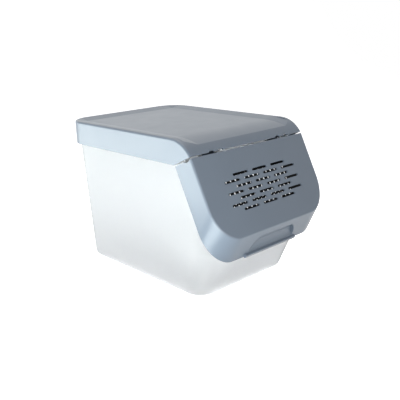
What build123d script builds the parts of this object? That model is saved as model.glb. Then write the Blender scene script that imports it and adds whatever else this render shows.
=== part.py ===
"""Potato storage bin: a translucent tub, a lift-off lid and a vented front flap.

Millimetres. +Z is up, the front of the bin faces -Y, and the origin lies on the
floor under the middle of the bin. Four injection mouldings make the object:

    tub          open bin with a sloped front mouth, a rim and a hinge crossbar
    lid          shallow dished cover whose front edge rolls down to the hinge line
    flap         slotted front door with a flared skirt, a finger pull and snap hooks
    vent_screen  black perforated tray that is staked behind the flap's slots
"""
from build123d import *
from math import asin, atan2, cos, degrees, hypot, radians, sin, sqrt, tan
import os

# ---------------------------------------------------------------- driving sizes
# Overall
bin_width = 230.0
bin_back = 174.8
skin = 2.2                      # wall of the lid and the flap

# Lid
lid_top = 232.3
lid_skirt = 35.8                # height of the skirt at the sides and back
lid_corner_radius = 39.6        # plan corners at the back
lid_edge_radius = 3.0
lid_flat_front = -84.2          # where the flat top turns into the front roll
lid_roll_radius = 46.2
lid_roll_angle = 55.1
lid_skirt_corner = 5.0
dish_depth = 3.0
dish_half_width = 90.0
dish_slope_width = 17.0
dish_front = -70.0
dish_roll_radius = 150.0
dish_back_margin = 8.0

# Flap
flap_slope = 63.8               # face of the flap, from the horizontal
flap_gap = 2.3                  # between the lid's front edge and the flap
panel_length = 118.0
skirt_depth = 34.0
skirt_side_flare = 0.5
skirt_bottom_flare = 26.0
skirt_corner_radius = 41.0
crease_radius = 3.0
stop_rib_thickness = 2.0
stop_rib_rise = 7.7             # above the skirt's lower edge
stop_rib_height = 12.0
stop_rib_spacing = 150.0
stop_rib_gap = 0.3              # to the tub's upright front

# Vent slots in the flap
slot_length = 30.0
slot_width = 3.5
slot_bevel = 1.0
slot_pitch = 38.6
slot_row_pitch = 8.1
slot_rows = 7
slots_in_long_row = 4
first_slot_row = 34.4           # from the flap's top edge

# Vent screen
screen_width = 164.0
screen_height = 68.0
screen_depth = 10.0
screen_wall = 1.2
screen_corner_radius = 8.0
screen_flange = 5.0
hole_across = 3.6               # corner to corner
hole_sides = 4
hole_pitch = 9.15
hole_row_pitch = 4.5
hole_rows = 11
holes_in_long_row = 14
peg_side = 2.6
peg_clearance = 0.05
peg_end = 0.8                   # past the screen's flange

# Finger pull
pull_half_width = 53.5
pull_top = 11.0                 # from the crease, down the band
pull_tip = 38.5
pull_end = 42.8
pull_sink = 5.0
pull_reach = 3.8
pull_arch_half_width = 47.0
pull_arch_radius = 24.0
pull_lip_bevel = 1.0

# Hinge
hinge_half_spacing = 67.5
pivot_above_edge = 6.0          # up the slope from the lid's front edge
pivot_depth = 8.5               # behind the flap's face
rod_radius = 1.6
rod_clearance = 0.06
ring_wall = 1.55
ring_opening = 100.0            # open part of each snap ring, degrees
ring_opening_middle = 80.0      # its middle, from the outward direction, degrees
finger_width = 8.0
finger_spacing = 17.0           # centre to centre
hook_width = 25.0
hook_thickness = 2.2
hook_end = 174.0                # end of the gooseneck, degrees
hook_web_angle = 166.0          # web from the gooseneck to the rings, degrees
hook_root = 4.0                 # overlap of the gooseneck with the panel, degrees
swing_clearance = 0.5
side_play = 0.5
gusset_thickness = 2.2
gusset_root_height = 16.0
gusset_boss_wall = 1.0
hinge_window_height = 24.0
notch_height = 2.0
notch_width = 9.0

# Tub
tub_wall = 2.0
tub_floor = 3.0
tub_base_half_width = 96.5
tub_base_back = 166.0
tub_base_front = -109.0
side_draft = 3.26
back_draft = 0.4
front_lean = 30.9
sill_bend = 70.0                # height where the leaning front turns upright
sill_drop = 12.6                # below the flap's crease
back_corner_radius = 30.0
base_corner_radius = 28.0       # front corners at the floor
upper_corner_radius = 53.0      # front corners above the bend
foot_radius = 10.0
floor_bevel = 6.0
foot_ring_width = 12.0
foot_recess = 1.0
mouth_depth = 20.5              # mouth face, behind the flap's face
mouth_top_border = 12.0         # tub's side to the mouth, at the crossbar
mouth_sill_border = 17.7        # tub's side to the mouth, at the sill
crossbar_drop = 6.0             # crossbar's lower edge, below the lid's front edge
mouth_corner_radius = 18.0
rim_thickness = 3.0
rim_gap = 0.4                   # rim to the inside of the lid's skirt
seat_gap = 0.3                  # rim to the underside of the lid

# ---------------------------------------------------------------- derived places
half_width = bin_width / 2
slope = radians(flap_slope)
outward = Vector(0, -sin(slope), cos(slope))
downhill = Vector(0, -cos(slope), -sin(slope))
roll_angle = radians(lid_roll_angle)
edge_y = lid_flat_front - lid_roll_radius * sin(roll_angle)
edge_z = lid_top - lid_roll_radius * (1 - cos(roll_angle))
lid_edge = Vector(0, edge_y, edge_z)
roll_centre = (lid_flat_front, lid_top - lid_roll_radius)
lid_bottom = lid_top - lid_skirt
pivot = lid_edge - downhill * pivot_above_edge - outward * pivot_depth
swing_radius = hypot(pivot_above_edge, pivot_depth) + swing_clearance
ring_radius = rod_radius + rod_clearance + ring_wall
rim_top = lid_top - skin - seat_gap

face_plane = Plane(origin=lid_edge, x_dir=(1, 0, 0), z_dir=outward)
crease = lid_edge + downhill * (flap_gap + panel_length)
band_end = crease + downhill * skirt_bottom_flare - outward * skirt_depth
band_down = (band_end - crease).normalized()
band_out = Vector(1, 0, 0).cross(band_down) * -1
band_plane = Plane(origin=crease, x_dir=(1, 0, 0), z_dir=band_out)
flare_angle = atan2(skirt_bottom_flare, skirt_depth)
side_flare_angle = atan2(skirt_side_flare, skirt_depth)
stop_rib_bottom = band_end.Z + stop_rib_rise

screen_middle = flap_gap + first_slot_row + (slot_rows - 1) / 2 * slot_row_pitch
peg_spacing = (screen_width - screen_flange, screen_height - screen_flange)
peg_length = screen_wall + peg_end

lean = radians(front_lean)
draft = radians(side_draft)
tub_front = tub_base_front - sill_bend * tan(lean)
sill_top = crease.Z - sill_drop
mouth_plane = face_plane.offset(-mouth_depth)
sill_run = (Vector(0, tub_front, sill_top) - mouth_plane.origin).dot(downhill)
hinge_window = hook_width + 2 * side_play

hook_inner = swing_radius
hook_outer = swing_radius + hook_thickness
hook_start = degrees(atan2((hook_inner**2 - (pivot_depth - skin) ** 2) ** 0.5, pivot_depth - skin))


def across(x, origin=pivot):
    """Plane square to the hinge: local x points out of the face, local y downhill."""
    return Plane(origin=(x, origin.Y, origin.Z), x_dir=outward, z_dir=(1, 0, 0))


def polar(radius, angle):
    return (radius * cos(radians(angle)), radius * sin(radians(angle)))


# ---------------------------------------------------------------- lid
def drop_on_arc(radius, run):
    """Fall of an arc below its tangent after a run along that tangent."""
    return radius - (radius**2 - run**2) ** 0.5


def dish_section(plane, inset):
    """Side view of the space above the lid's dish, grown by an inset."""
    floor = lid_top - dish_depth - inset
    roll = dish_roll_radius + inset
    front = lid_flat_front - lid_roll_radius
    middle = (dish_front + front) / 2
    front_floor = floor - drop_on_arc(roll, dish_front - front)
    middle_floor = floor - drop_on_arc(roll, dish_front - middle)
    back = bin_back - dish_back_margin - dish_slope_width + inset
    rear = back + 2 * dish_slope_width
    above = lid_top + lid_skirt
    with BuildSketch(plane) as section:
        with BuildLine():
            ThreePointArc((front, front_floor), (middle, middle_floor), (dish_front, floor))
            Polyline((dish_front, floor), (back, floor), (rear, floor + 2 * dish_depth))
            Polyline((rear, floor + 2 * dish_depth), (rear, above), (front, above), (front, front_floor))
        make_face()
    return section.sketch


def dish_space(inset):
    """The dish with its sloping sides, as a solid to cut or to keep clear of."""
    side_taper = degrees(atan2(dish_depth, dish_slope_width))
    with BuildPart() as space:
        extrude(dish_section(Plane.YZ, inset), amount=dish_half_width, both=True)
        for side in (1, -1):
            wall = Plane.YZ.offset(side * dish_half_width)
            extrude(dish_section(wall, inset), amount=side * (dish_slope_width + inset), taper=side_taper)
    return space.part


def lid_section(inset):
    """Side view of the lid's block; the inset moves its top, roll and back inwards."""
    radius = lid_roll_radius - inset
    roll_y, roll_z = roll_centre
    start = (roll_y - radius * sin(roll_angle), roll_z + radius * cos(roll_angle))
    middle = (roll_y - radius * sin(roll_angle / 2), roll_z + radius * cos(roll_angle / 2))
    top = (roll_y, roll_z + radius)
    back = bin_back - inset
    bottom = lid_bottom - 2 * inset
    corner = (start[0] + (start[1] - bottom) * tan(slope), bottom)
    with BuildSketch(Plane.YZ) as section:
        with BuildLine():
            ThreePointArc(start, middle, top)
            Polyline(top, (back, top[1]), (back, bottom), corner, start)
        make_face()
        fillet(section.vertices().sort_by_distance(corner)[0], lid_skirt_corner)
    return section.sketch


with BuildPart() as lid_cavity:
    extrude(lid_section(skin), amount=half_width - skin, both=True)
    back_corners = lid_cavity.edges().filter_by(Axis.Z).sort_by(Axis.Y)[-2:]
    fillet(back_corners, lid_corner_radius - skin)
    add(dish_space(skin), mode=Mode.SUBTRACT)

with BuildPart() as lid:
    extrude(lid_section(0), amount=half_width, both=True)
    back_corners = lid.edges().filter_by(Axis.Z).sort_by(Axis.Y)[-2:]
    fillet(back_corners, lid_corner_radius)
    top_edges = lid.edges().filter_by(lambda e: e.bounding_box().min.Z > lid_edge.Z - lid_edge_radius)
    across_top = lid.edges().filter_by(Axis.X).sort_by(Axis.Y)[:-2]
    fillet([e for e in top_edges if not any(e.is_same(a) for a in across_top)], lid_edge_radius)
    add(lid_cavity.part, mode=Mode.SUBTRACT)
    add(dish_space(0), mode=Mode.SUBTRACT)
    for side in (1, -1):
        for finger in (1, -1):
            x = side * hinge_half_spacing + finger * finger_spacing / 2
            with Locations(face_plane * Location((x, 0, 0))):
                Box(notch_width, 2 * notch_height, 4 * skin, mode=Mode.SUBTRACT)
lid.part.label = "lid"

# ---------------------------------------------------------------- flap
def flap_form(inset, front, back, top):
    """The flap's outer form between two depths, moved inwards by an inset."""
    flare = tan(flare_angle)
    bottom = flap_gap + panel_length - inset / cos(flare_angle)
    with BuildPart() as form:
        with BuildSketch(across(0, lid_edge)):
            with BuildLine():
                Polyline(
                    (-front, top),
                    (-front, bottom + front * flare),
                    (-back, bottom + back * flare),
                    (-back, top),
                    close=True,
                )
            make_face()
        extrude(amount=half_width + skirt_depth, both=True)
        for side in (1, -1):
            edge = lid_edge + Vector(side * (half_width - inset), 0, 0)
            flared = Vector(side * cos(side_flare_angle), 0, 0) + outward * sin(side_flare_angle)
            split(bisect_by=Plane(origin=edge, x_dir=downhill, z_dir=flared), keep=Keep.BOTTOM)
        band = form.faces().sort_by(Axis(lid_edge, downhill))[-1]
        fillet(band.edges().filter_by(Axis.X, reverse=True), skirt_corner_radius - inset)
    return form.part


def pull_section(inset):
    """Side view of the space in front of the finger pull, across the band."""
    side = Plane(origin=crease, x_dir=band_out, z_dir=(1, 0, 0))
    deepest = (pull_top + pull_tip) / 2
    clear = 4 * pull_sink
    with BuildSketch(side) as section:
        with BuildLine():
            ThreePointArc(
                (0, pull_top - inset),
                (-pull_sink - inset, deepest),
                (pull_reach - inset, pull_tip + inset),
            )
            Polyline(
                (pull_reach - inset, pull_tip + inset),
                (clear, pull_tip + inset),
                (clear, pull_top - inset - clear),
                (0, pull_top - inset),
            )
        make_face()
    return section.sketch


def pull_arch(plane, inset):
    """Outline of the finger pull, seen square to the band."""
    reach = pull_arch_half_width + inset
    top = -pull_top + inset + pull_sink / 2
    bottom = -pull_end - pull_sink
    with BuildSketch(plane) as section:
        with BuildLine():
            Polyline((-reach, top), (reach, top), (reach, bottom), (-reach, bottom), close=True)
        make_face()
        fillet(section.vertices().sort_by(Axis.Y)[-2:], pull_arch_radius + inset)
    return section.sketch


def pull_space(inset):
    """The scoop of the finger pull as a solid."""
    with BuildPart() as space:
        extrude(pull_section(inset), amount=half_width, both=True)
        behind = band_plane.offset(-4 * pull_sink)
        extrude(pull_arch(behind, inset), amount=7 * pull_sink, mode=Mode.INTERSECT)
    return space.part


def pull_lip():
    """The lip that the fingers pull, at the lower edge of the band."""
    side = Plane(origin=crease, x_dir=band_out, z_dir=(1, 0, 0))
    with BuildPart() as lip:
        with BuildSketch(side):
            with BuildLine():
                Polyline(
                    (-skin, pull_tip - skin),
                    (pull_reach - pull_lip_bevel, pull_tip - pull_lip_bevel),
                    (pull_reach, pull_tip),
                    (pull_reach - pull_lip_bevel, pull_end),
                    (-skin, pull_end),
                    close=True,
                )
            make_face()
        extrude(amount=pull_half_width, both=True)
    return lip.part


def ray_wedge(start, end, radius):
    """Wedge between two angles about the hinge, to trim its rings."""
    middle = (start + end) / 2
    with BuildSketch() as wedge:
        with BuildLine():
            Polyline((0, 0), polar(radius, start), polar(radius, middle), polar(radius, end), close=True)
        make_face()
    return wedge.sketch


def hook_section(plane):
    """Gooseneck that joins the flap to its snap rings, seen along the hinge."""
    web_start = ring_radius + rod_clearance
    web_end = (hook_inner + hook_outer) / 2
    with BuildSketch(plane) as section:
        Circle(hook_outer)
        Circle(hook_inner, mode=Mode.SUBTRACT)
        add(ray_wedge(hook_start - hook_root, hook_end, 2 * hook_outer), mode=Mode.INTERSECT)
        with Locations(polar((web_start + web_end) / 2, hook_web_angle)):
            Rectangle(web_end - web_start, hook_thickness, rotation=hook_web_angle)
    return section.sketch


def ring_section(plane):
    """Snap ring round the rod, open down the slope, with its web to the gooseneck."""
    web_start = ring_radius - ring_wall / 2
    web_end = hook_inner + hook_thickness / 4
    opening_start = ring_opening_middle - ring_opening / 2
    with BuildSketch(plane) as section:
        Circle(ring_radius)
        with Locations(polar((web_start + web_end) / 2, hook_web_angle)):
            Rectangle(web_end - web_start, hook_thickness, rotation=hook_web_angle)
        Circle(rod_radius + rod_clearance, mode=Mode.SUBTRACT)
        opening = ray_wedge(opening_start, opening_start + ring_opening, 2 * ring_radius)
        add(opening, mode=Mode.SUBTRACT)
    return section.sketch


with BuildPart() as flap_block:
    add(flap_form(0, 0, skirt_depth, flap_gap))
    face = flap_block.faces().sort_by(Axis(lid_edge, outward))[-1]
    fillet(face.edges().sort_by(Axis.Z)[:-1], crease_radius)

with BuildPart() as pull_backing:
    add(flap_block.part)
    add(pull_space(skin), mode=Mode.INTERSECT)

with BuildPart() as stop_ribs:
    add(flap_block.part)
    with BuildSketch(Plane.XY.offset(stop_rib_bottom)):
        with Locations((0, tub_front - stop_rib_gap - skirt_depth / 2)):
            with GridLocations(stop_rib_spacing, 1, 2, 1):
                Rectangle(stop_rib_thickness, skirt_depth)
    extrude(amount=stop_rib_height, mode=Mode.INTERSECT)

with BuildPart() as flap:
    add(flap_block.part)
    add(flap_form(skin, skin, skirt_depth * 1.5, -swing_radius), mode=Mode.SUBTRACT)
    add(pull_backing.part)
    add(pull_space(0), mode=Mode.SUBTRACT)
    add(pull_lip())
    # vent slots
    for row in range(slot_rows):
        count = slots_in_long_row - (row + 1) % 2
        height = -flap_gap - first_slot_row - row * slot_row_pitch
        with BuildSketch(face_plane):
            with Locations((0, height)):
                with GridLocations(slot_pitch, 1, count, 1):
                    Rectangle(slot_length, slot_width)
            chamfer(vertices(), slot_bevel)
        extrude(amount=-2 * skin, mode=Mode.SUBTRACT)
    # clearance about the hinge
    with BuildSketch(across(0)):
        Circle(swing_radius)
    extrude(amount=bin_width, both=True, mode=Mode.SUBTRACT)
    for side in (1, -1):
        centre = side * hinge_half_spacing
        extrude(hook_section(across(centre)), amount=hook_width / 2, both=True)
        for finger in (1, -1):
            x = centre + finger * finger_spacing / 2
            extrude(ring_section(across(x)), amount=finger_width / 2, both=True)
    # pegs that hold the vent screen
    with BuildSketch(face_plane.offset(-skin)):
        with Locations((0, -screen_middle)):
            with GridLocations(*peg_spacing, 2, 2):
                Rectangle(peg_side, peg_side)
    extrude(amount=-peg_length)
    # ribs that meet the tub's upright front when the flap is shut
    add(stop_ribs.part)
flap.part.label = "flap"

# ---------------------------------------------------------------- vent screen
with BuildPart() as vent_screen:
    front = face_plane.offset(-skin)
    back = face_plane.offset(-skin - screen_depth)
    tray_width = screen_width - 2 * screen_flange
    tray_height = screen_height - 2 * screen_flange
    with BuildSketch(front):
        with Locations((0, -screen_middle)):
            RectangleRounded(screen_width, screen_height, screen_corner_radius)
    extrude(amount=-screen_wall)
    with BuildSketch(front):
        with Locations((0, -screen_middle)):
            RectangleRounded(tray_width, tray_height, screen_corner_radius)
    extrude(amount=-screen_depth)
    with BuildSketch(front):
        with Locations((0, -screen_middle)):
            RectangleRounded(
                tray_width - 2 * screen_wall,
                tray_height - 2 * screen_wall,
                screen_corner_radius - screen_wall,
            )
    extrude(amount=-screen_depth + screen_wall, mode=Mode.SUBTRACT)
    with BuildSketch(back):
        for row in range(hole_rows):
            count = holes_in_long_row - (row + 1) % 2
            height = (row - (hole_rows - 1) / 2) * hole_row_pitch
            with Locations((0, height - screen_middle)):
                with GridLocations(hole_pitch, 1, count, 1):
                    RegularPolygon(hole_across / 2, hole_sides)
    extrude(amount=2 * screen_wall, mode=Mode.SUBTRACT)
    with BuildSketch(front):
        with Locations((0, -screen_middle)):
            with GridLocations(*peg_spacing, 2, 2):
                Rectangle(peg_side + 2 * peg_clearance, peg_side + 2 * peg_clearance)
    extrude(amount=-screen_wall, mode=Mode.SUBTRACT)
vent_screen.part.label = "vent_screen"

# ---------------------------------------------------------------- tub
def tub_side(height, inset=0):
    """Half width of the tub at a height, moved inwards by an inset."""
    return tub_base_half_width + height * tan(draft) - inset / cos(draft)


def leaning_front(height, inset):
    """Y of the tub's leaning front at a height, moved inwards by an inset."""
    return tub_base_front - height * tan(lean) + inset / cos(lean)


def beyond_corner(inset, bend):
    """What lies outside a front corner of the leaning wall: a block less a cone.

    The cone touches both walls. Its radius grows from the corner radius at the floor
    to the one at the bend, so its tip lies on the walls' common edge, below the floor.
    """
    side_in = Vector(-cos(draft), 0, sin(draft))
    front_in = Vector(0, cos(lean), sin(lean))
    edge = front_in.cross(side_in).normalized()
    inward = (side_in + front_in).normalized()
    share = inward.dot(side_in)
    growth = (upper_corner_radius - base_corner_radius) / sill_bend
    touch_angle = edge.get_angle(edge / edge.Z + Vector(0, growth, 0))
    along = cos(radians(touch_angle))
    tilt = asin(sqrt((1 - along**2) / (1 - (share * along) ** 2)))
    axis = edge * cos(tilt) + inward * sin(tilt)
    cone_angle = asin(share * sin(tilt))
    tip_height = -base_corner_radius / growth
    tip = Vector(tub_side(tip_height), leaning_front(tip_height, 0), tip_height)
    tip += axis * (inset / sin(cone_angle))
    side_touch = axis - side_in * sin(cone_angle)
    front_touch = axis - front_in * sin(cone_angle)
    length = (bend - tip_height) / axis.Z * 1.5
    with BuildPart() as beyond:
        for height in (-foot_radius, bend + foot_radius):
            near_side = tip + side_touch * ((height - tip.Z) / side_touch.Z)
            near_front = tip + front_touch * ((height - tip.Z) / front_touch.Z)
            far = upper_corner_radius
            with BuildSketch(Plane.XY.offset(height)):
                with BuildLine():
                    Polyline(
                        (near_front.X, near_side.Y),
                        (near_side.X + far, near_side.Y),
                        (near_side.X + far, near_front.Y - far),
                        (near_front.X, near_front.Y - far),
                        close=True,
                    )
                make_face()
        loft(ruled=True)
        with Locations(Plane(origin=tip, z_dir=axis)):
            Cone(0, length * tan(cone_angle), length, align=(Align.CENTER, Align.CENTER, Align.MIN), mode=Mode.SUBTRACT)
    return beyond.part


def tub_form(bottom, top, inset):
    """The tub's outer form between two heights, moved inwards by an inset."""
    bend = sill_bend + (inset / cos(lean) - inset) / tan(lean)
    back_lean = tan(radians(back_draft))
    corner = beyond_corner(inset, bend)
    with BuildPart() as form:
        with BuildSketch(Plane.YZ):
            with BuildLine():
                Polyline(
                    (leaning_front(bottom, inset), bottom),
                    (leaning_front(bend, inset), bend),
                    (leaning_front(bend, inset), top),
                    (tub_base_back + top * back_lean - inset, top),
                    (tub_base_back + bottom * back_lean - inset, bottom),
                    close=True,
                )
            make_face()
        extrude(amount=bin_width, both=True)
        for side in (1, -1):
            edge = (side * tub_side(0, inset), 0, 0)
            drafted = (side * cos(draft), 0, -sin(draft))
            split(bisect_by=Plane(origin=edge, x_dir=(0, 1, 0), z_dir=drafted), keep=Keep.BOTTOM)
        steep = form.edges().filter_by(lambda e: e.bounding_box().size.Z > foot_radius)
        fillet(steep.sort_by(Axis.Z)[-2:], upper_corner_radius - inset)
        steep = form.edges().filter_by(lambda e: e.bounding_box().size.Z > foot_radius)
        fillet(steep.sort_by(Axis.Y)[-2:], back_corner_radius - inset)
        add(corner, mode=Mode.SUBTRACT)
        add(mirror(corner, about=Plane.YZ, mode=Mode.PRIVATE), mode=Mode.SUBTRACT)
    return form.part


def gusset_section(plane):
    """Bracket that carries one end of a hinge rod from the crossbar."""
    root = pivot_depth - mouth_depth - tub_wall / 2
    half = gusset_root_height / 2
    with BuildSketch(plane) as section:
        with BuildLine():
            Polyline((0, -rod_radius), (root, -half), (root, half), (0, rod_radius), close=True)
        make_face()
        Circle(rod_radius + gusset_boss_wall)
    return section.sketch


with BuildPart() as tub_cavity:
    add(tub_form(tub_floor, rim_top + tub_wall, tub_wall))
    chamfer(tub_cavity.faces().sort_by(Axis.Z)[0].edges(), floor_bevel)
    split(bisect_by=mouth_plane.offset(-tub_wall), keep=Keep.BOTTOM)

with BuildPart() as tub:
    add(tub_form(0, rim_top, 0))
    fillet(tub.faces().sort_by(Axis.Z)[0].edges(), foot_radius)
    # rim that locates the lid
    rim_reach = half_width - skin - rim_gap
    rim_back = bin_back - skin - rim_gap
    with BuildSketch(Plane.XY.offset(rim_top - rim_thickness)) as rim:
        Rectangle(2 * rim_reach, 2 * rim_back)
        fillet(rim.vertices().sort_by(Axis.Y)[-2:], lid_corner_radius - skin - rim_gap)
    extrude(amount=rim_thickness)
    split(bisect_by=mouth_plane, keep=Keep.BOTTOM)
    add(tub_cavity.part, mode=Mode.SUBTRACT)
    # front of the rim stays under the lid's roll and dish
    with BuildSketch(Plane.YZ):
        with Locations((lid_flat_front - lid_roll_radius, lid_top)):
            Rectangle(2 * lid_roll_radius, 2 * lid_roll_radius)
        with Locations(roll_centre):
            Circle(lid_roll_radius - skin - rim_gap, mode=Mode.SUBTRACT)
    extrude(amount=bin_width, both=True, mode=Mode.SUBTRACT)
    add(dish_space(skin + rim_gap), mode=Mode.SUBTRACT)
    # mouth window in the sloped face and the upright front
    top_reach = tub_side(mouth_plane.origin.Z) - mouth_top_border
    sill_reach = tub_side(sill_top) - mouth_sill_border
    with BuildSketch(mouth_plane) as window:
        with BuildLine():
            Polyline(
                (-top_reach, -crossbar_drop),
                (top_reach, -crossbar_drop),
                (sill_reach, -sill_run),
                (-sill_reach, -sill_run),
                close=True,
            )
        make_face()
        fillet(window.vertices(), mouth_corner_radius)
    extrude(amount=mouth_depth, both=True, mode=Mode.SUBTRACT)
    # ring foot
    ring_inset = foot_radius + foot_ring_width
    with BuildSketch():
        with Locations((0, (tub_base_front + tub_base_back) / 2)):
            RectangleRounded(
                2 * (tub_base_half_width - ring_inset),
                tub_base_back - tub_base_front - 2 * ring_inset,
                base_corner_radius - ring_inset,
            )
    extrude(amount=foot_recess, mode=Mode.SUBTRACT)
    # hinge brackets: a window in the crossbar, two gussets and a rod each
    for side in (1, -1):
        centre = side * hinge_half_spacing
        with BuildSketch(mouth_plane):
            with Locations((centre, pivot_above_edge)):
                Rectangle(hinge_window, hinge_window_height)
        extrude(amount=2 * tub_wall, both=True, mode=Mode.SUBTRACT)
        for end in (1, -1):
            x = centre + end * (hinge_window + gusset_thickness) / 2
            extrude(gusset_section(across(x)), amount=gusset_thickness / 2, both=True)
        with BuildSketch(across(centre)):
            Circle(rod_radius)
        extrude(amount=hinge_window / 2, both=True)
tub.part.label = "tub"

os.makedirs("parts", exist_ok=True)
export_step(tub.part, "parts/tub.step")
export_step(lid.part, "parts/lid.step")
export_step(flap.part, "parts/flap.step")
export_step(vent_screen.part, "parts/vent_screen.step")
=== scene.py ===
# %% [markdown]
# # A potato storage bin
# The object is a kitchen bin of four injection mouldings: a translucent tub, a
# grey lid, a grey front flap and a black vent screen behind the flap's slots.
# The frame brings them in at their real size and place, in metres, with the
# front of the bin facing -Y. This script gives them their finish and their
# light, and makes the holes of the vent screen round again.

# %% Load the frame
import math

import bmesh
import bpy
import numpy as np
from mathutils import Matrix


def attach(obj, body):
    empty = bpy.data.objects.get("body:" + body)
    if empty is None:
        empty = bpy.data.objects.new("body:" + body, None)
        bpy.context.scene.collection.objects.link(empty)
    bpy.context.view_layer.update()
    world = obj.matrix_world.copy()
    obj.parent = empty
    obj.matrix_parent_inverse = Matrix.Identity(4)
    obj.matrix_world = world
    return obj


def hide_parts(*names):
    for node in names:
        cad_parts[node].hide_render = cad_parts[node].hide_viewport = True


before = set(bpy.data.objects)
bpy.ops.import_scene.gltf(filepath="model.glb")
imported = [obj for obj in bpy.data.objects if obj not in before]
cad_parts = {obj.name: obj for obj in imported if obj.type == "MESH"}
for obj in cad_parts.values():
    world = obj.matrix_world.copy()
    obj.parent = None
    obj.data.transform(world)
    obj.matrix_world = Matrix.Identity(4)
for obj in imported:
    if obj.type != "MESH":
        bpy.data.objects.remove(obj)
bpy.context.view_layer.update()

# %% [markdown]
# ## Colours and nodes
# Colours are written as sRGB hex values, as a paint card gives them. Blender's
# shaders work in linear light, so one function turns one into the other. A
# second function adds a node with its settings and its links, so that each
# material below reads as a short list of what it is made of.


# %% Colour and node helpers
def linear(hex_value):
    """sRGB hex to linear RGBA: c / 12.92 up to 0.04045, else ((c + 0.055) / 1.055) ** 2.4."""
    channels = np.array([int(hex_value[i : i + 2], 16) for i in (1, 3, 5)]) / 255
    curved = ((channels + 0.055) / 1.055) ** 2.4
    return (*np.where(channels <= 0.04045, channels / 12.92, curved), 1.0)


def add_node(tree, kind, settings=(), links=()):
    """Adds a node; settings name its sockets or attributes, links name its sockets."""
    node = tree.nodes.new(kind)
    for name, value in dict(settings).items():
        if isinstance(name, int) or name in node.inputs:
            node.inputs[name].default_value = value
        else:
            setattr(node, name, value)
    for name, output in dict(links).items():
        tree.links.new(output, node.inputs[name])
    return node


def empty_material(name):
    """A material whose node tree starts empty."""
    material = bpy.data.materials.new(name)
    material.use_nodes = True
    material.node_tree.nodes.clear()
    return material


def new_object(name, data):
    """An object at the origin that holds a mesh, a lamp or a camera."""
    made = bpy.data.objects.new(name, data)
    bpy.context.scene.collection.objects.link(made)
    return made


# %% [markdown]
# ## The camera
# The bin is seen from the front left and a little above, from just under a
# metre away. A camera could be aimed with a Track To constraint, but that
# keeps it level. This one is placed by its position and three turns, yaw,
# pitch and a slight roll, from which its three directions are worked out.

# %% Camera
camera_place = (-0.61404, -0.67727, 0.37821)
camera_yaw = math.radians(42.8)
camera_pitch = math.radians(-16.66)
camera_roll = math.radians(-1.79)
lens_mm = 53.79
sensor_mm = 36.0


def camera_axes(yaw, pitch, roll):
    """Right, up and backward directions of a camera that looks along yaw and pitch."""
    forward = np.array(
        (math.sin(yaw) * math.cos(pitch), math.cos(yaw) * math.cos(pitch), math.sin(pitch))
    )
    level = np.array((math.cos(yaw), -math.sin(yaw), 0.0))
    upright = np.cross(level, forward)
    right = math.cos(roll) * level + math.sin(roll) * upright
    up = math.cos(roll) * upright - math.sin(roll) * level
    return right, up, -forward


def placed(axes, place):
    """Matrix whose columns are an object's own three axes and its place."""
    matrix = np.eye(4)
    matrix[:3, :3] = np.column_stack(axes)
    matrix[:3, 3] = place
    return Matrix(matrix.tolist())


camera = new_object("camera", bpy.data.cameras.new("camera"))
camera.matrix_world = placed(camera_axes(camera_yaw, camera_pitch, camera_roll), camera_place)
camera.data.sensor_width = sensor_mm
camera.data.lens = lens_mm
bpy.context.scene.camera = camera
print("camera", round(math.dist(camera_place, (0.0, 0.0, 0.0)), 2), "m away,", lens_mm, "mm lens")

# %% [markdown]
# ## White paper
# A product stands on white paper that curves up behind it. A floor and a wall
# could be two planes, but their corner would show as a line. One sheet is
# enough: a profile of a flat part, a quarter circle and an upright part,
# carried across the set.

# %% Paper sweep
paper_half_width = 3.0
paper_front = -2.4
paper_bend_start = 1.2
paper_bend_radius = 0.8
paper_bend_steps = 24
paper_height = 3.0


def sweep_profile(steps):
    """Side view (y, z) of the paper: along the floor, a quarter circle, then straight up."""
    angle = np.linspace(-math.pi / 2, 0.0, steps)
    bend_y = paper_bend_start + paper_bend_radius * np.cos(angle)
    bend_z = paper_bend_radius + paper_bend_radius * np.sin(angle)
    y = np.concatenate(([paper_front], bend_y, [bend_y[-1]]))
    z = np.concatenate(([0.0], bend_z, [paper_height]))
    return y, z


def grid_mesh(name, points):
    """Mesh of a grid of points (rows, columns, 3): each cell is one four-sided face."""
    rows, columns = points.shape[:2]
    index = np.arange(rows * columns).reshape(rows, columns)
    corners = (index[:-1, :-1], index[:-1, 1:], index[1:, 1:], index[1:, :-1])
    faces = np.stack(corners, axis=-1).reshape(-1, 4)
    mesh = bpy.data.meshes.new(name)
    mesh.from_pydata(points.reshape(-1, 3).tolist(), [], faces.tolist())
    mesh.polygons.foreach_set("use_smooth", np.ones(len(faces), bool))
    return mesh


profile_y, profile_z = sweep_profile(paper_bend_steps)
sweep_points = np.empty((2, len(profile_y), 3))
sweep_points[..., 0] = np.array((-paper_half_width, paper_half_width))[:, None]
sweep_points[..., 1] = profile_y
sweep_points[..., 2] = profile_z
paper = new_object("paper_sweep", grid_mesh("paper_sweep", sweep_points))
print("paper sweep of", len(paper.data.polygons), "faces")

# %% [markdown]
# ## What the eye sees of the paper and the world
# White paper renders light grey, because the lamps are set for the bin. More
# light would whiten it but would burn out the pale tub. So only the rays that
# the eye follows, from the camera, off gloss and through clear plastic, see
# the paper and the world lifted to white. The light that falls on the bin
# stays as it was, and the bin's shadow still shows a little.

# %% Paper and world shaders
paper_lift = 0.85
world_light = 0.13


def seen_rays(tree):
    """1 on rays that the eye follows: from the camera, off gloss and through plastic."""
    rays = add_node(tree, "ShaderNodeLightPath")
    seen = rays.outputs["Is Camera Ray"]
    for kind in ("Is Glossy Ray", "Is Transmission Ray"):
        larger = add_node(
            tree,
            "ShaderNodeMath",
            {"operation": "MAXIMUM"},
            {0: seen, 1: rays.outputs[kind]},
        )
        seen = larger.outputs[0]
    return seen


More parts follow.
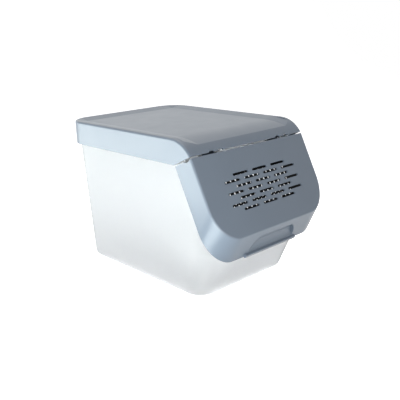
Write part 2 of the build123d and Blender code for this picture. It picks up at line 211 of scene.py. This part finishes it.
def white_paper(lift):
    """Matt white paper; what the eye sees of it is lifted to plain white."""
    material = empty_material("matt_white_paper")
    tree = material.node_tree
    surface = add_node(tree, "ShaderNodeBsdfDiffuse", {"Color": linear("#EDEDED")})
    strength = add_node(
        tree, "ShaderNodeMath", {"operation": "MULTIPLY", 1: lift}, {0: seen_rays(tree)}
    )
    glow = add_node(
        tree,
        "ShaderNodeEmission",
        {"Color": linear("#FFFFFF")},
        {"Strength": strength.outputs[0]},
    )
    both = add_node(
        tree, "ShaderNodeAddShader", links={0: surface.outputs[0], 1: glow.outputs[0]}
    )
    add_node(tree, "ShaderNodeOutputMaterial", links={"Surface": both.outputs[0]})
    return material


def studio_world(ambient):
    """White where the eye follows a ray, and a weaker white as soft light."""
    world = bpy.data.worlds.new("studio")
    world.use_nodes = True
    tree = world.node_tree
    tree.nodes.clear()
    strength = add_node(
        tree,
        "ShaderNodeMapRange",
        {"To Min": ambient, "To Max": 1.0},
        {"Value": seen_rays(tree)},
    )
    background = add_node(
        tree,
        "ShaderNodeBackground",
        {"Color": linear("#FFFFFF")},
        {"Strength": strength.outputs["Result"]},
    )
    add_node(tree, "ShaderNodeOutputWorld", links={"Surface": background.outputs[0]})
    return world


paper.data.materials.append(white_paper(paper_lift))
bpy.context.scene.world = studio_world(world_light)
bpy.context.scene.view_settings.view_transform = "Standard"
print("paper lifted by", paper_lift, "and world light", world_light)

# %% [markdown]
# ## Lamps
# Soft boxes are area lamps: the larger the lamp, the softer the edge of its
# light. Two of them lie like glowing cards low at the left of the bin. The
# upright sides of the lid and the flap face them, so they turn much paler
# than the fronts, though the plastic is the same. Their light has a faint cool
# tint. One strong lamp from the left would burn out the pale tub first. The
# other three are one from the front left, a large one from above, and a low
# strip for the tub's front.


# %% Soft boxes
def soft_box(name, place, target, width, height, watts, tint="#FFFFFF"):
    """A rectangular area lamp at a place, turned so that it shines at a target."""
    lamp = bpy.data.lights.new(name, "AREA")
    lamp.shape = "RECTANGLE"
    lamp.size = width
    lamp.size_y = height
    lamp.energy = watts
    lamp.color = linear(tint)[:3]
    back = np.array(place) - np.array(target)
    back = back / np.linalg.norm(back)
    side = np.cross((0.0, 0.0, 1.0), back)
    side = side / np.linalg.norm(side)
    new_object(name, lamp).matrix_world = placed((side, np.cross(back, side), back), place)
    print(name, "is", width, "x", height, "m and gives", watts, "W")


bin_middle = (0.0, 0.0, 0.12)
card_tint = "#F6FFFE"
soft_box("left_card", (-0.69, 0.6, 0.075), (-0.48, 0.6, 1.05), 1.2, 0.6, 15.8, card_tint)
soft_box("corner_card", (-0.36, -0.3, 0.01), (-0.361, -0.3, 1.0), 0.4, 0.35, 3.0, card_tint)
soft_box("left_front", (-1.2, -0.85, 0.35), bin_middle, 0.8, 0.8, 8.8)
soft_box("top_soft", (0.1, 0.3, 1.7), bin_middle, 1.6, 1.6, 18.0)
soft_box("low_front", (-0.2, -1.2, 0.15), bin_middle, 1.2, 0.3, 3.8)

# %% [markdown]
# ## How moulded polypropylene looks
# All four pieces are injection-moulded polypropylene. Its mould was spark-eroded,
# so the skin has a fine even grain that spreads highlights to a satin and hides
# fingerprints. The melt leaves faint streaks of colour where it flowed, and
# the gloss drifts a little where the skin cooled at another speed. Images
# could carry all this, but noise in object coordinates has no seams and keeps
# its true size. The real grain is about 0.1 mm across, too fine to show, so
# it is drawn at 0.8 mm.

# %% Parts of a moulded skin
grain_mm = 0.8
grain_height_mm = 0.05


def flow_shade(tree, size_mm, first, second):
    """Two shades of one colour, mixed by a soft noise as wide as the melt's streaks."""
    place = add_node(tree, "ShaderNodeTexCoord")
    streaks = add_node(
        tree,
        "ShaderNodeTexNoise",
        {"Scale": 1000.0 / size_mm, "Detail": 3.0, "Roughness": 0.5},
        {"Vector": place.outputs["Object"]},
    )
    return add_node(
        tree,
        "ShaderNodeMix",
        {"data_type": "RGBA", "A": linear(first), "B": linear(second)},
        {"Factor": streaks.outputs["Fac"]},
    )


def uneven_gloss(tree, size_mm, lowest, highest):
    """Roughness that drifts between two values over patches of a given size."""
    place = add_node(tree, "ShaderNodeTexCoord")
    patches = add_node(
        tree,
        "ShaderNodeTexNoise",
        {"Scale": 1000.0 / size_mm, "Detail": 2.0},
        {"Vector": place.outputs["Object"]},
    )
    return add_node(
        tree,
        "ShaderNodeMapRange",
        {"To Min": lowest, "To Max": highest},
        {"Value": patches.outputs["Fac"]},
    )


def skin_grain(tree, strength):
    """Bump of a spark-eroded mould: noise whose cells are grain_mm across."""
    place = add_node(tree, "ShaderNodeTexCoord")
    grain = add_node(
        tree,
        "ShaderNodeTexNoise",
        {"Scale": 1000.0 / grain_mm, "Detail": 2.0, "Roughness": 0.6},
        {"Vector": place.outputs["Object"]},
    )
    return add_node(
        tree,
        "ShaderNodeBump",
        {"Strength": strength, "Distance": grain_height_mm / 1000.0},
        {"Height": grain.outputs["Fac"]},
    )


# %% Moulded polypropylene
polypropylene_ior = 1.49


def moulded(name, shade, gloss, grain, surface):
    """Polypropylene whose streaks, gloss and grain are given as the functions above take them.

    surface holds what is the same all over, for the shader's own sockets.
    """
    material = empty_material(name)
    tree = material.node_tree
    links = {
        "Base Color": flow_shade(tree, *shade).outputs["Result"],
        "Roughness": uneven_gloss(tree, *gloss).outputs["Result"],
        "Normal": skin_grain(tree, grain).outputs["Normal"],
    }
    settings = {"IOR": polypropylene_ior, **surface}
    shader = add_node(tree, "ShaderNodeBsdfPrincipled", settings, links)
    add_node(tree, "ShaderNodeOutputMaterial", links={"Surface": shader.outputs[0]})
    print(name, "with roughness", gloss[1], "to", gloss[2])
    return material


# %% [markdown]
# ## Grey lid and flap: satin polypropylene
# The lid and the flap are coloured in the mass, a blue grey with a satin skin.
# Two greys a shade apart stand for the flow of the melt. The skin is smooth
# enough to mirror the glowing cards as a broad pale sheen, which is why the
# specular level is a little above the usual 0.5.

# %% Satin grey polypropylene
satin_grey = moulded(
    "satin_grey_polypropylene",
    shade=(60.0, "#606B78", "#65707D"),
    gloss=(25.0, 0.28, 0.36),
    grain=0.25,
    surface={"Specular IOR Level": 0.6},
)

# %% [markdown]
# ## The tub: milky translucent polypropylene
# The tub is polypropylene without colour. Its crystals scatter light, so the
# wall is milky: light passes through it and spreads, and nothing behind it
# can be made out. Subsurface scattering is the usual way, but it keeps the
# light near where it went in, and a 2 mm wall should glow from its far side.
# A rough transmission does that. Its mirror gloss is weak.

# %% Milky polypropylene
milky = moulded(
    "natural_translucent_polypropylene",
    shade=(90.0, "#E3E4E5", "#E7E8E9"),
    gloss=(30.0, 0.76, 0.86),
    grain=0.2,
    surface={"Specular IOR Level": 0.1, "Transmission Weight": 0.86},
)

# %% [markdown]
# ## The vent screen: matt black polypropylene
# The screen is black all through and has a coarser, matt skin. It stands in
# the shade behind the slots, so a low specular level keeps it deep black and
# lets the light in its holes stand out.

# %% Matt black polypropylene
matt_black = moulded(
    "matt_black_polypropylene",
    shade=(40.0, "#060607", "#0A0A0B"),
    gloss=(20.0, 0.55, 0.65),
    grain=0.3,
    surface={"Specular IOR Level": 0.3},
)

# %% Finish of each piece
finishes = {"tub": milky, "lid": satin_grey, "flap": satin_grey, "vent_screen": matt_black}
for node, finish in finishes.items():
    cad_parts[node].data.materials.clear()
    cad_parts[node].data.materials.append(finish)
    print(node, "is", finish.name)

# %% [markdown]
# ## The vent screen's round holes
# The screen is a black tray with a field of small round holes that lets air in
# and keeps soil and fingers out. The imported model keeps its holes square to
# stay light. They could be cut again with a boolean, but that leaves slivers on
# a thin plate. Here each side of a square hole is divided instead, and the new
# points move out onto the circle through its corners, so the plate stays one
# closed skin.

# %% Sizes of the holes
hole_across = 0.0036
hole_side = hole_across / math.sqrt(2.0)
screen_wall = 0.0012
points_per_side = 3
length_tolerance = 0.02


def is_hole_wall(face):
    """True for a four-sided face as long as a hole's side and as wide as the wall."""
    lengths = sorted(edge.calc_length() for edge in face.edges)
    wanted = (screen_wall, screen_wall, hole_side, hole_side)
    return len(lengths) == 4 and np.allclose(lengths, wanted, rtol=length_tolerance)


def holes_in(shape):
    """The long edges of all square holes, the hole's centre for each wall, and the axis."""
    walls = [face for face in shape.faces if is_hole_wall(face)]
    centres = [face.calc_center_median() + face.normal * (hole_side / 2.0) for face in walls]
    across = min(walls[0].edges, key=lambda edge: edge.calc_length())
    axis = (across.verts[1].co - across.verts[0].co).normalized()
    longer = (screen_wall + hole_side) / 2.0
    long_edges = {edge for face in walls for edge in face.edges if edge.calc_length() > longer}
    sides = [edge for edge in shape.edges if edge in long_edges]
    print(len(walls) // 4, "holes,", round(hole_across * 1000, 1), "mm across")
    return sides, np.array(centres), np.array(axis)


# %% Round the holes
merge_distance = 1e-6
flat_angle = math.radians(0.5)
sharp_angle = math.radians(35.0)


def onto_circles(points, centres, axis, radius):
    """Moves points inside a circle to centre + radius * (p - centre) / |p - centre|.

    Distances are taken across the axis; points outside every circle stay.
    """
    offset = points[:, None, :] - centres[None, :, :]
    offset = offset - (offset @ axis)[..., None] * axis
    distance = np.linalg.norm(offset, axis=-1)
    nearest = distance.argmin(axis=1)
    row = np.arange(len(points))
    step = np.maximum(radius / distance[row, nearest] - 1.0, 0.0)
    return points + offset[row, nearest] * step[:, None]


def round_holed_copy(node, name):
    """Copy of the screen's mesh with round holes in place of the square ones."""
    shape = bmesh.new()
    shape.from_mesh(node.data)
    bmesh.ops.remove_doubles(shape, verts=shape.verts, dist=merge_distance)
    bmesh.ops.dissolve_limit(
        shape, angle_limit=flat_angle, verts=shape.verts, edges=shape.edges
    )
    sides, centres, axis = holes_in(shape)
    bmesh.ops.subdivide_edges(shape, edges=sides, cuts=points_per_side)
    mesh = bpy.data.meshes.new(name)
    shape.to_mesh(mesh)
    points = np.empty(len(mesh.vertices) * 3)
    mesh.vertices.foreach_get("co", points)
    moved = onto_circles(points.reshape(-1, 3), centres, axis, hole_across / 2.0)
    mesh.vertices.foreach_set("co", moved.ravel())
    shape.clear()
    shape.from_mesh(mesh)
    bmesh.ops.triangulate(shape, faces=shape.faces)
    shape.to_mesh(mesh)
    shape.free()
    mesh.polygons.foreach_set("use_smooth", np.ones(len(mesh.polygons), bool))
    mesh.set_sharp_from_angle(angle=sharp_angle)
    print(name, "has", len(mesh.polygons), "triangles")
    return new_object(name, mesh)


# %% Put the screen in
screen = round_holed_copy(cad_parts["vent_screen"], "vent_screen_round_holes")
screen.data.materials.append(matt_black)
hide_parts("vent_screen")
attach(screen, "door")
